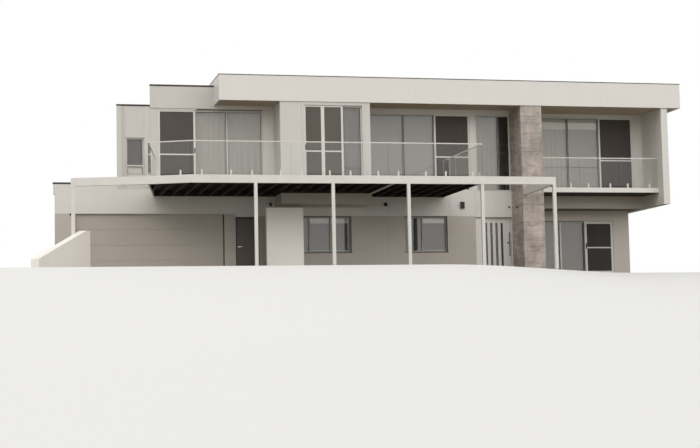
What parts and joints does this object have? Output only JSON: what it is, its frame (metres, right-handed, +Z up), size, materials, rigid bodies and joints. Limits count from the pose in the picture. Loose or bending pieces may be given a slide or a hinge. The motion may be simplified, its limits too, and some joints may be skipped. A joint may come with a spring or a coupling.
{
  "type": "two-storey beach house",
  "caption": "Flat-roofed modern beach house with a deep fascia, a bay, a deck on a white steel frame, glass balustrades, a stone-clad pillar and a garage.",
  "frame": {"origin": "centre of the whole house in plan, on the level ground that its walls and posts stand on", "axes": "+X to the right along the front as seen from the garden, +Y back into the house, +Z up"},
  "size_m": [24.276, 15.394, 7.195],
  "materials": {
    "concrete": "trowelled concrete",
    "dark_metal": "satin dark powder coat",
    "deck_timber": "weathered boards",
    "door_paint": "pale satin paint",
    "garage_paint": "taupe satin coat",
    "glass": "clear",
    "grey_wall": "painted cladding sheets",
    "roof_sheet": "ribbed sheet",
    "screen_mesh": "dark fly mesh",
    "soffit_lining": "painted sheet",
    "stone": "grey cement panel",
    "white_metal": "satin white powder coat",
    "white_render": "smooth painted render"
  },
  "bodies": {
    "house": {"balcony_slab": "white_metal", "balustrade_glass": "glass", "balustrade_rails": "white_metal", "balustrade_spigots": "white_metal", "bay_door_frame": "white_metal", "bay_front": "white_render", "bay_shell": "white_render", "deck_joists": "dark_metal", "deck_platform": "deck_timber", "deck_posts": "white_metal", "front_beam": "white_metal", "front_door_frame": "door_paint", "front_lintels": "white_render", "front_piers": "grey_wall", "garage_door": "garage_paint", "garage_parapet": "white_metal", "ground_floor": "concrete", "left_roof": "white_metal", "lower_front_wall": "grey_wall", "lower_glass": "glass", "lower_rear_wall": "grey_wall", "lower_right_frame": "white_metal", "lower_side_walls": "grey_wall", "lower_window_frames": "dark_metal", "mid_roof": "white_metal", "pillar": "stone", "rear_frames": "white_metal", "rear_glass": "glass", "right_band": "soffit_lining", "right_fin_wall": "white_render", "right_soffit": "soffit_lining", "roof_cap": "dark_metal", "roof_deck": "roof_sheet", "roof_fascia": "white_metal", "roof_soffit": "soffit_lining", "screen_door_mesh": "screen_mesh", "screen_doors": "white_metal", "screen_wall": "white_render", "side_beams": "white_metal", "side_door_frame": "dark_metal", "step_wall": "grey_wall", "upper_floor": "concrete", "upper_frames": "white_metal", "upper_glass": "glass", "upper_left_front": "white_render", "upper_left_side": "white_render", "upper_lintels": "white_render", "upper_piers": "white_render", "upper_rear_wall": "white_render", "wall_lights": "dark_metal", "wing_wall": "white_render"},
    "front_door_leaf": {"front_door": "door_paint", "front_door_glass": "glass", "front_door_handle": "dark_metal"},
    "side_door_leaf": {"side_door": "dark_metal"},
    "sliding_door_leaf": {"sliding_door": "white_metal", "sliding_door_glass": "screen_mesh"}
  },
  "joints": [
    {"name": "front_door_hinge", "type": "hinge", "parent": "house", "child": "front_door_leaf", "pos_m": [4.50895, -1.86, 0.12], "axis": [0, 0, 1], "range_deg": [0, 90]},
    {"name": "side_door_hinge", "type": "hinge", "parent": "house", "child": "side_door_leaf", "pos_m": [-3.98305, -1.86, 0.12], "axis": [0, 0, -1], "range_deg": [0, 90]},
    {"name": "sliding_door_slide", "type": "slide", "parent": "house", "child": "sliding_door_leaf", "axis": [-1, 0, 0], "range_m": [0, 1.05]}
  ]
}
